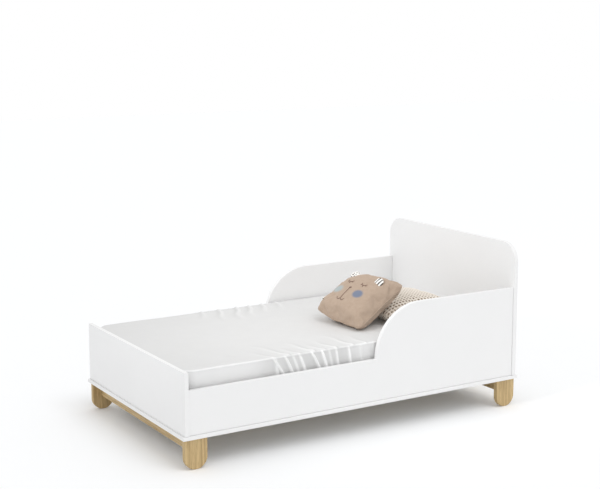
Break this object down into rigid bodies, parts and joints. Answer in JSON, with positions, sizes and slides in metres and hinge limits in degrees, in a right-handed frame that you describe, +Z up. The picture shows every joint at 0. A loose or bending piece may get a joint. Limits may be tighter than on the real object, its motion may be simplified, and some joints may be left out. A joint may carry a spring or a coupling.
{
  "type": "toddler bed",
  "caption": "Low toddler bed with a rounded headboard, low footboard, side rails that sweep up into guards, wooden leg frames, slatted deck, mattress with fitted sheet and loose cushions.",
  "frame": {"origin": "on the floor, under the middle of the base frame", "axes": "+X from the footboard to the headboard, +Y to the bed's left side, +Z up"},
  "size_m": [1.354, 0.776, 0.6],
  "materials": {
    "white_lacquer": "satin white lacquer on MDF",
    "pale_oak": "clear-coated pale oak",
    "pine": "planed pine",
    "beech": "turned beech",
    "zinc": "zinc-plated steel",
    "mattress_ticking": "quilted cotton ticking over foam",
    "white_cotton": "plain woven cotton",
    "beige_velour": "short-pile velour",
    "cream_waffle": "waffle-knit wool and cotton"
  },
  "bodies": {
    "frame": {"base_board_foot": "white_lacquer", "base_board_head": "white_lacquer", "base_board_left": "white_lacquer", "base_board_right": "white_lacquer", "base_screw_foot": "zinc", "base_screw_head": "zinc", "base_screw_left_foot": "zinc", "base_screw_left_head": "zinc", "base_screw_right_foot": "zinc", "base_screw_right_head": "zinc", "cam_bolt_foot_left_lower": "zinc", "cam_bolt_foot_left_upper": "zinc", "cam_bolt_foot_right_lower": "zinc", "cam_bolt_foot_right_upper": "zinc", "cam_bolt_head_left_lower": "zinc", "cam_bolt_head_left_upper": "zinc", "cam_bolt_head_right_lower": "zinc", "cam_bolt_head_right_upper": "zinc", "cam_lock_foot_left_lower": "zinc", "cam_lock_foot_left_upper": "zinc", "cam_lock_foot_right_lower": "zinc", "cam_lock_foot_right_upper": "zinc", "cam_lock_head_left_lower": "zinc", "cam_lock_head_left_upper": "zinc", "cam_lock_head_right_lower": "zinc", "cam_lock_head_right_upper": "zinc", "cross_rail_foot": "pale_oak", "cross_rail_head": "pale_oak", "dowel_foot_left": "beech", "dowel_foot_right": "beech", "dowel_head_left": "beech", "dowel_head_right": "beech", "footboard": "white_lacquer", "headboard": "white_lacquer", "leg_foot_left": "pale_oak", "leg_foot_right": "pale_oak", "leg_head_left": "pale_oak", "leg_head_right": "pale_oak", "leg_screw_foot_left": "zinc", "leg_screw_foot_right": "zinc", "leg_screw_head_left": "zinc", "leg_screw_head_right": "zinc", "side_rail_left": "white_lacquer", "side_rail_right": "white_lacquer", "slat_01": "pine", "slat_02": "pine", "slat_03": "pine", "slat_04": "pine", "slat_05": "pine", "slat_06": "pine", "slat_07": "pine", "slat_08": "pine", "slat_09": "pine", "slat_10": "pine", "slat_cleat_left": "pine", "slat_cleat_right": "pine"},
    "mattress": {"mattress": "mattress_ticking", "fitted_sheet": "white_cotton"},
    "waffle_cushion": {"waffle_cushion": "cream_waffle"},
    "face_cushion": {"face_cushion": "beige_velour"}
  },
  "joints": [
    {"name": "mattress_lift", "type": "slide", "parent": "frame", "child": "mattress", "axis": [0, 0, 1], "range_m": [0, 0.26]},
    {"name": "waffle_cushion_lift", "type": "slide", "parent": "mattress", "child": "waffle_cushion", "axis": [0, 0, 1], "range_m": [0, 0.2]},
    {"name": "face_cushion_lift", "type": "slide", "parent": "waffle_cushion", "child": "face_cushion", "axis": [0, 0, 1], "range_m": [0, 0.2]}
  ]
}
